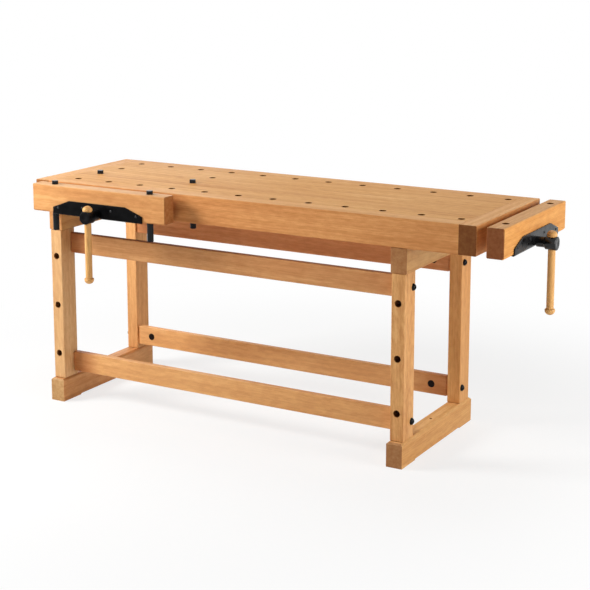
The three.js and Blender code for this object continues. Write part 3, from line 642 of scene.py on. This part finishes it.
slab = "top_front_dog_board"
linings("front_row_linings", slab, "z", [(x, front_row) for x in row_lines], "bench")
linings("rear_row_linings", slab, "z", [(x, rear_row) for x in row_lines], "bench")
linings("middle_linings", slab, "z", [(x, y) for y in middle_rows for x in dog_lines], "bench")
linings("front_jaw_linings", "front_vise_jaw", "z", [(x, jaw_dog_row) for x in dog_lines], "front_jaw")
end_jaw_places = [(end_jaw_line, front_row), (end_jaw_line, rear_row)]
linings("end_jaw_linings", "end_vise_jaw", "z", end_jaw_places, "end_jaw")
for side in ("left", "right"):
    leg_line, _, _ = middle_of(f"{side}_front_leg")
    places = [(leg_line, LOWEST_LEG_HOLE + LEG_HOLE_SPACING * step) for step in range(LEG_HOLES)]
    linings(f"{side}_leg_linings", f"{side}_front_leg", "y", places, "bench", leg_bore_painted_shade)


# Vises, drawn in a frame of their own: u along the jaw, v into the bench from the plate's face, z up

class Vise:
    """A vise's name and finishes, and the place and the half width of its plate."""

    def __init__(self, name, steel, paint, cast):
        self.name, self.steel, self.paint, self.cast = name, steel, paint, cast
        low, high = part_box(f"{name}_vise_plate")
        start, end, self.face = (low.x, high.x, low.y) if name == "front" else (low.y, high.y, high.x)
        self.axis = (start + end) / 2
        self.half_width = (end - start) / 2
        self.base = low.z

    def set_in(self, shape):
        """From the vise's own frame to the bench's: the end vise is turned by a quarter turn."""
        points, faces = shape
        u, v, z = points.T
        if self.name == "front":
            return np.stack([self.axis + u, self.face + v, z], -1), faces
        return np.stack([self.face - v, self.axis + u, z], -1), faces

    def depth(self, node):
        """The nearest and the furthest v of a solid."""
        low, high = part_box(f"{self.name}_vise_{node}")
        if self.name == "front":
            return low.y - self.face, high.y - self.face
        return self.face - high.x, self.face - low.x

    def put(self, piece, shape, material, body, slot, stands_for=(), sharp=38):
        """A piece of this vise, named after it and moving with one of its bodies."""
        solids = [f"{self.name}_vise_{node}" for node in stands_for]
        return put(f"{self.name}_vise_{piece}", self.set_in(shape), material,
                   f"{self.name}_{body}", solids, sharp)


# Screws and guide rods

SCREW_Z = float(middle_of("front_vise_screw")[2])
THREAD_PITCH, THREAD_ROOT, THREAD_CREST, THREAD_TIP = 6.0 * MM, 7.4 * MM, 10.0 * MM, 2.0 * MM
THREAD_FLANK, ROWS_PER_PITCH = 0.3, 8
THREAD_IN_JAW = 20 * MM
GUIDE_RADIUS, GUIDE_EASE, GUIDE_OFFSET = 9 * MM, 1 * MM, 130 * MM


def threaded_rod(start, thread_start, end):
    """A turned rod whose radius, past thread_start, follows a trapezium wave of (h / pitch - t / turn):
    a right-hand thread that fades in over one pitch and ends in a chamfer."""
    sides = 40
    tip = end - THREAD_TIP
    threaded = np.arange(thread_start, tip, THREAD_PITCH / ROWS_PER_PITCH)
    height = np.concatenate([[start, start], threaded, [tip, end, end]])
    turn = np.arange(sides) / sides
    wave = np.abs(((height[:, None] / THREAD_PITCH - turn) % 1.0) - 0.5) * 2
    crest = np.clip((wave - THREAD_FLANK) / THREAD_FLANK, 0, 1)
    fade = np.clip((height - thread_start) / THREAD_PITCH, 0, 1)[:, None]
    radius = THREAD_CREST - (THREAD_CREST - THREAD_ROOT) * fade * (1 - crest)
    radius[[0, -1]] = 0.0
    radius[1] = THREAD_CREST
    radius[-3] = np.minimum(radius[-3], THREAD_ROOT + THREAD_TIP / 2)
    radius[-2] = np.minimum(radius[-2], THREAD_ROOT - THREAD_TIP / 2)
    return turned(zip(radius, height), sides)


def plain_rod(radius, start, end, ease):
    """A turned rod with eased ends."""
    return turned([
        (0, start), (radius - ease, start), (radius, start + ease),
        (radius, end - ease), (radius - ease, end), (0, end),
    ], 48)


def build_screw(vise):
    """The screw, whose thread begins inside the jaw."""
    start, end = vise.depth("screw")
    jaw_face, _ = vise.depth("jaw")
    rod = lying(threaded_rod(start, jaw_face + THREAD_IN_JAW, end), "y")
    vise.put("screw_threaded", moved(rod, (0, 0, SCREW_Z)), vise.steel, "screw", "bright_steel",
             ["screw"], 60)


def build_guide_rods(vise):
    """The two ground rods beside the screw."""
    start, end = vise.depth("guide_rod_left")
    rod = lying(plain_rod(GUIDE_RADIUS, start + GUIDE_EASE, end, GUIDE_EASE), "y")
    for side, offset in (("left", -GUIDE_OFFSET), ("right", GUIDE_OFFSET)):
        vise.put(f"guide_rod_{side}_ground", moved(rod, (offset, 0, SCREW_Z)), vise.steel,
                 "jaw", "bright_steel", [f"guide_rod_{side}"])


# Screw heads and handles, in millimetres

HEAD, HEAD_LENGTH, COLLAR, COLLAR_GAP = 25.0, 45.0, 18.5, 0.3
HEAD_DISH, HEAD_DISH_DEPTH = 8.0, 0.5
HANDLE, HANDLE_LENGTH, HANDLE_SETBACK, HANDLE_PLAY = 13.2, 302.0, 20.0, 0.5
HEAD_SEAT, HEAD_FLAT, CUT_REACH = 19.2, 21.5, 40.0
KNOB, KNOB_FOOT, KNOB_LENGTH, KNOB_SEAT, KNOB_WIDEST = 18.5, 15.0, 23.0, 21.8, 7.0
NECK, NECK_LENGTH = 15.2, 5.5
SPIGOT, SPIGOT_LENGTH, SPIGOT_PLAY = 7.0, 15.0, 0.3


def cut(shape, cutter):
    """A shape less another, worked out by an exact boolean cut."""
    made = []
    for points, faces in (shape, cutter):
        mesh = bpy.data.meshes.new("cut")
        mesh.from_pydata(points.tolist(), [], faces)
        made.append(bpy.data.objects.new("cut", mesh))
        bpy.context.scene.collection.objects.link(made[-1])
    less = made[0].modifiers.new("less", "BOOLEAN")
    less.operation, less.solver, less.object = "DIFFERENCE", "EXACT", made[1]
    mesh = made[0].evaluated_get(bpy.context.evaluated_depsgraph_get()).to_mesh()
    points = np.zeros(len(mesh.vertices) * 3)
    mesh.vertices.foreach_get("co", points)
    faces = [list(face.vertices) for face in mesh.polygons]
    for thing in made:
        bpy.data.objects.remove(thing)
    return points.reshape(-1, 3), faces


def screw_head(reach):
    """A turned boss with a rounded face and a collar behind, less the handle's cross hole and the two
    flat seats of its knobs. It is drawn from the plate outwards, towards lower v."""
    front = reach / MM
    back = front - HEAD_LENGTH
    boss = turned(in_mm(
        (0, COLLAR_GAP), (COLLAR, COLLAR_GAP), (COLLAR, back - 1), (COLLAR + 0.6, back + 0.5),
        (HEAD - 0.8, back + 5.2), (HEAD, back + 7), (HEAD, front - 3), (HEAD - 0.5, front - 1.4),
        (HEAD - 1.5, front - 0.5), (HEAD - 3, front), (HEAD_DISH + 1, front),
        (HEAD_DISH, front - HEAD_DISH_DEPTH), (0, front - HEAD_DISH_DEPTH),
    ), 96)
    bore = HANDLE + HANDLE_PLAY
    spool = turned(in_mm(
        (0, -CUT_REACH), (HEAD_SEAT, -CUT_REACH), (HEAD_SEAT, -HEAD_FLAT), (bore, -HEAD_FLAT),
        (bore, HEAD_FLAT), (HEAD_SEAT, HEAD_FLAT), (HEAD_SEAT, CUT_REACH), (0, CUT_REACH),
    ))
    cross_axis = (0, -(front - HANDLE_SETBACK) * MM, 0)
    shape = cut(half_turned(lying(boss, "y")), moved(spool, cross_axis))
    return moved(shape, (0, 0, SCREW_Z))


def bulge(from_height, to_height, from_radius, to_radius, steps=9):
    """Rows on a quarter of an ellipse that is upright at its wider end."""
    t = np.linspace(0, math.pi / 2, steps)
    wide, high = abs(to_radius - from_radius), to_height - from_height
    if from_radius > to_radius:
        return list(zip(to_radius + wide * np.cos(t), from_height + high * np.sin(t)))
    return list(zip(from_radius + wide * np.sin(t), to_height - high * np.cos(t)))


def handle_bar():
    """A turned bar with a spigot at its foot and a full knob at its top, whose dome is a quarter
    ellipse. The screw's axis is at height 0."""
    top = KNOB_SEAT + KNOB_LENGTH
    widest = KNOB_SEAT + KNOB_WIDEST
    foot = top - HANDLE_LENGTH + KNOB_LENGTH
    return turned(in_mm(
        (0, foot - SPIGOT_LENGTH), (SPIGOT, foot - SPIGOT_LENGTH), (SPIGOT, foot + SPIGOT_PLAY),
        (HANDLE, foot + SPIGOT_PLAY), (HANDLE, KNOB_SEAT), (KNOB_FOOT - 0.4, KNOB_SEAT),
        *bulge(KNOB_SEAT + 0.05, widest, KNOB_FOOT, KNOB),
        *bulge(widest + 0.2, top, KNOB, 0.0, 12),
    ))


def handle_knob():
    """The knob at the handle's foot: a flared neck over a dome, both quarter ellipses, with a socket
    for the bar's spigot."""
    bottom = KNOB_SEAT + KNOB_LENGTH - HANDLE_LENGTH
    top = bottom + KNOB_LENGTH
    socket, socket_end = SPIGOT + SPIGOT_PLAY, top - SPIGOT_LENGTH - SPIGOT_PLAY
    return turned(in_mm(
        *bulge(bottom, top - NECK_LENGTH, 0.0, KNOB, 14),
        *bulge(top - NECK_LENGTH + 0.2, top - 0.8, KNOB, NECK, 7),
        (NECK - 0.8, top), (socket, top), (socket, socket_end), (0, socket_end),
    ))


def build_head(vise):
    """The screw's head, as far out from the plate as its solid."""
    near, _ = vise.depth("head")
    vise.put("head_turned", screw_head(-near), vise.cast, "screw", "black_steel", ["head"], 30)


def build_handle(vise):
    """The handle and the knob at its foot, hung in the head's cross hole."""
    near, _ = vise.depth("head")
    at = (0, near + HANDLE_SETBACK * MM, SCREW_Z)
    vise.put("handle_turned", moved(handle_bar(), at), handle_wood, "handle", "handle_wood", ["handle"])
    vise.put("knob_turned", moved(handle_knob(), at), handle_wood, "handle", "handle_wood", ["knob"])


# Folded plates and their screws, in millimetres

PLATE_THICK, PLATE_FOLD, PLATE_EDGE = 5.0, 4.0, 0.7
PLATE_HEIGHT, PLATE_SHOULDER, PLATE_TOP = 57.5, 28.5, 132.0
FLANGE, FLANGE_TAPER = 45.0, 30.0
SCREW_GAP, SCREW_GAP_TOP, CLIP_NOTCH, FACE_DEPTH = 11.0, 27.0, 14.0, 4.0
PLATE_SCREW, PLATE_SCREW_HEIGHT, PLATE_SCREW_SUNK = 4.6, 2.4, 1.0

# Grid of the plate's sheet: further rows, as heights on the shoulders and on the face below them and as
# depths on the flange, and the upright columns beside the screw
SHOULDER_ROWS, FACE_ROWS, FLANGE_ROWS = (48.0, 38.0), (22.0, 16.0), (14.0, 20.0, 30.0)
UPRIGHT_COLUMNS = (SCREW_GAP, CLIP_NOTCH, 60.0, 110.0)

# Places of the plate's screws, along the jaw and up from the vise's axis
PLATE_SCREWS = ((-185, 11), (-68, 20.5), (68, 20.5), (185, 11))

# Slots of a plate's screw: half width and reach as shares of its radius, depth as a share of its height
SLOT_WIDTH, SLOT_REACH, SLOT_DEPTH = 0.13, 0.6, 0.6


def folded_plate(half_width):
    """The middle sheet of the folded plate. A row is a place on the path down the face, round the
    fold and back under the jaw; its half width follows the shoulders and the tapered flange, and the
    outer columns are shares of that width. The squares at the screw and at the clip's notch are left
    out."""
    sheet = PLATE_THICK / 2
    bend = PLATE_FOLD + sheet
    fold = bend + sheet
    turn = np.linspace(0, math.pi / 2, 9)[1:]
    face = np.array([PLATE_HEIGHT, *SHOULDER_ROWS, PLATE_SHOULDER, SCREW_GAP_TOP, *FACE_ROWS, fold])
    flange = np.array([*FLANGE_ROWS, FLANGE])
    height = np.concatenate([face, fold - bend * np.sin(turn), np.full_like(flange, sheet)])
    depth = np.concatenate([np.full_like(face, sheet), fold - bend * np.cos(turn), flange])
    slope = (half_width - PLATE_TOP) / (PLATE_HEIGHT - PLATE_SHOULDER)
    half = np.where(
        height > PLATE_SHOULDER,
        PLATE_TOP + slope * (PLATE_HEIGHT - height),
        half_width - FLANGE_TAPER * np.clip((depth - PLATE_THICK) / (FLANGE - PLATE_THICK), 0, 1),
    )
    inner = np.broadcast_to(UPRIGHT_COLUMNS, (len(half), len(UPRIGHT_COLUMNS)))
    outer = inner[:, -1:] + (half[:, None] - inner[:, -1:]) * np.linspace(0, 1, 4)[1:]
    right = np.concatenate([inner, outer], axis=1)
    u = np.concatenate([-right[:, ::-1], right], axis=1)
    v = np.broadcast_to(depth[:, None], u.shape)
    z = np.broadcast_to(height[:, None], u.shape)
    rows, wide = u.shape
    corner = np.arange(rows - 1)[:, None] * wide + np.arange(wide - 1)
    quads = np.stack([corner, corner + wide, corner + wide + 1, corner + 1], -1)
    across, back, level = ((grid[:-1, :-1] + grid[1:, 1:]) / 2 for grid in (u, v, z))
    on_face = back < FACE_DEPTH
    screw = (np.abs(across) < SCREW_GAP) & (level > fold) & (level < SCREW_GAP_TOP) & on_face
    notch = (np.abs(across) < CLIP_NOTCH) & ~on_face
    points = np.stack([u, v, z], -1).reshape(-1, 3) * MM
    return points, quads[~(screw | notch)].tolist()


def plate_screw():
    """A turned pan head whose middle is sunk along two crossed slots: the height drops where the
    lesser of |x| and |y| is under the slot's half width. The first row closes its underside."""
    sides = 48
    share = np.concatenate([[0.0, 1.0, 1.0, 0.96, 0.86, 0.72], np.linspace(0.62, 0, 12)])[:, None]
    dome = PLATE_SCREW_HEIGHT * np.sqrt(1 - 0.75 * share ** 2)
    dome[:2] = -PLATE_SCREW_SUNK
    turn = angles(sides)
    near = np.minimum(np.abs(share * np.cos(turn)), np.abs(share * np.sin(turn)))
    slot = (near < SLOT_WIDTH) & (share < SLOT_REACH)
    slot[0] = False
    rise = dome - np.where(slot, PLATE_SCREW_HEIGHT * SLOT_DEPTH, 0)
    return turned(zip(share * PLATE_SCREW * MM, rise * MM), sides)


def build_plate(vise):
    """The folded plate: modifiers give its sheet a thickness and ease its edges."""
    sheet = moved(folded_plate(vise.half_width / MM), (0, 0, vise.base))
    plate = vise.put("plate_folded", sheet, vise.paint, "jaw", "black_steel", ["plate"])
    thick = plate.modifiers.new("thickness", "SOLIDIFY")
    thick.thickness, thick.offset = PLATE_THICK * MM, 0.0
    edge = plate.modifiers.new("edge", "BEVEL")
    edge.width, edge.segments = PLATE_EDGE * MM, 2
    edge.limit_method, edge.angle_limit = "ANGLE", math.radians(50)


def build_plate_screws(vise):
    """The four screws that hold the plate to the jaw, placed from the vise's axis."""
    cap = half_turned(lying(plate_screw(), "y"))
    caps = [moved(cap, (u * MM, 0, SCREW_Z + up * MM)) for u, up in PLATE_SCREWS]
    vise.put("plate_screws", gathered(caps), screw_black, "jaw", "black_steel")


front_vise = Vise("front", steel_along_y, front_paint, front_cast)
end_vise = Vise("end", steel_along_x, end_paint, end_cast)
for vise in (front_vise, end_vise):
    build_plate(vise)
    build_screw(vise)
    build_guide_rods(vise)
    build_head(vise)
    coat(f"{vise.name}_vise_clip", vise.steel)
    coat(f"{vise.name}_vise_bracket", vise.cast)
    build_handle(vise)
    build_plate_screws(vise)


# Floor and room: white to the camera and in reflections, dim as a light

FLOOR_HALF, FLOOR_NEAR, FLOOR_FAR = 15.0, 0.9, 2.3
FLOOR_TONE, FLOOR_WHITE = (0.93, 0.93, 0.92, 1.0), 0.74
ROOM_LIGHT = 0.03


def seen_rays(tree):
    """One for rays from the camera and for mirrored rays, nothing for the light's own rays."""
    path = tree.nodes.new("ShaderNodeLightPath")
    either = tree.nodes.new("ShaderNodeMath")
    either.operation = "MAXIMUM"
    tree.links.new(path.outputs["Is Camera Ray"], either.inputs[0])
    tree.links.new(path.outputs["Is Glossy Ray"], either.inputs[1])
    return either.outputs[0]


def pale_floor():
    """A plain pale floor with the bench's shadow near it, which looks even white further away."""
    f = Finish("pale_floor")
    here = f.split(f.place.outputs["Object"])
    away = f.spread(f.distance(here["x"], here["y"]), FLOOR_NEAR, FLOOR_FAR, FLOOR_WHITE, 1.0)
    f.set(Base_Color=FLOOR_TONE, Roughness=0.9)
    white = f.nodes.new("ShaderNodeEmission")
    blend = f.nodes.new("ShaderNodeMixShader")
    f.feed(blend.inputs[0], f.math("MULTIPLY", away, seen_rays(f.material.node_tree)))
    f.feed(blend.inputs[1], f.shader.outputs[0])
    f.feed(blend.inputs[2], white.outputs[0])
    f.feed(f.surface.inputs[0], blend.outputs[0])
    return f.material


def background(tree, strength):
    """A white background of some strength."""
    made = tree.nodes.new("ShaderNodeBackground")
    made.inputs[0].default_value = WHITE
    made.inputs[1].default_value = strength
    return made.outputs[0]


floor_corners = [(x * FLOOR_HALF, y * FLOOR_HALF, 0) for x, y in ((-1, -1), (1, -1), (1, 1), (-1, 1))]
floor_mesh = bpy.data.meshes.new("floor")
floor_mesh.from_pydata(floor_corners, [], [(0, 1, 2, 3)])
floor_mesh.materials.append(pale_floor())
floor = bpy.data.objects.new("floor", floor_mesh)
bpy.context.scene.collection.objects.link(floor)

world = bpy.data.worlds.new("studio")
bpy.context.scene.world = world
world.use_nodes = True
tree = world.node_tree
tree.nodes.clear()
either = tree.nodes.new("ShaderNodeMixShader")
tree.links.new(seen_rays(tree), either.inputs[0])
tree.links.new(background(tree, ROOM_LIGHT), either.inputs[1])
tree.links.new(background(tree, 1.0), either.inputs[2])
world_out = tree.nodes.new("ShaderNodeOutputWorld")
tree.links.new(either.outputs[0], world_out.inputs[0])


# Lamps: place, width and power of each

LAMP_TARGET = (0.0, 0.0, 0.6)
LAMPS = {
    "left_front_softbox": ((-2.6, -1.6, 2.2), 1.2, 122),
    "front_softbox": ((-0.6, -4.2, 1.5), 1.6, 17),
    "right_softbox": ((3.5, 0.0, 1.35), 1.5, 69),
    "rear_left_softbox": ((-3.0, 3.2, 1.7), 1.4, 10),
    "top_softbox": ((0.4, 1.2, 3.4), 1.5, 30),
}


def softbox(name, place, width, power):
    """A square soft lamp that faces the bench."""
    lamp = bpy.data.lights.new(name, "AREA")
    lamp.shape, lamp.size, lamp.energy = "SQUARE", width, power
    holder = bpy.data.objects.new(name, lamp)
    bpy.context.scene.collection.objects.link(holder)
    x, y, z = np.array(LAMP_TARGET) - np.array(place)
    holder.location = place
    holder.rotation_euler = (math.atan2(math.hypot(x, y), -z), 0, math.atan2(y, x) - math.pi / 2)


for name, (place, width, power) in LAMPS.items():
    softbox(name, place, width, power)


# Camera, with its dip and turn in degrees

CAMERA_PLACE, CAMERA_DIP, CAMERA_TURN = (2.6966, -4.6267, 1.8652), 10.4764, 29.9711

camera_data = bpy.data.cameras.new("camera")
camera_data.sensor_width = 36
camera_data.lens = 88.5433
camera_data.shift_y = -0.161
camera = bpy.data.objects.new("camera", camera_data)
camera.location = CAMERA_PLACE
camera.rotation_euler = (math.radians(90 - CAMERA_DIP), 0, math.radians(CAMERA_TURN))
bpy.context.scene.collection.objects.link(camera)
bpy.context.scene.camera = camera
bpy.context.scene.view_settings.view_transform = "Standard"
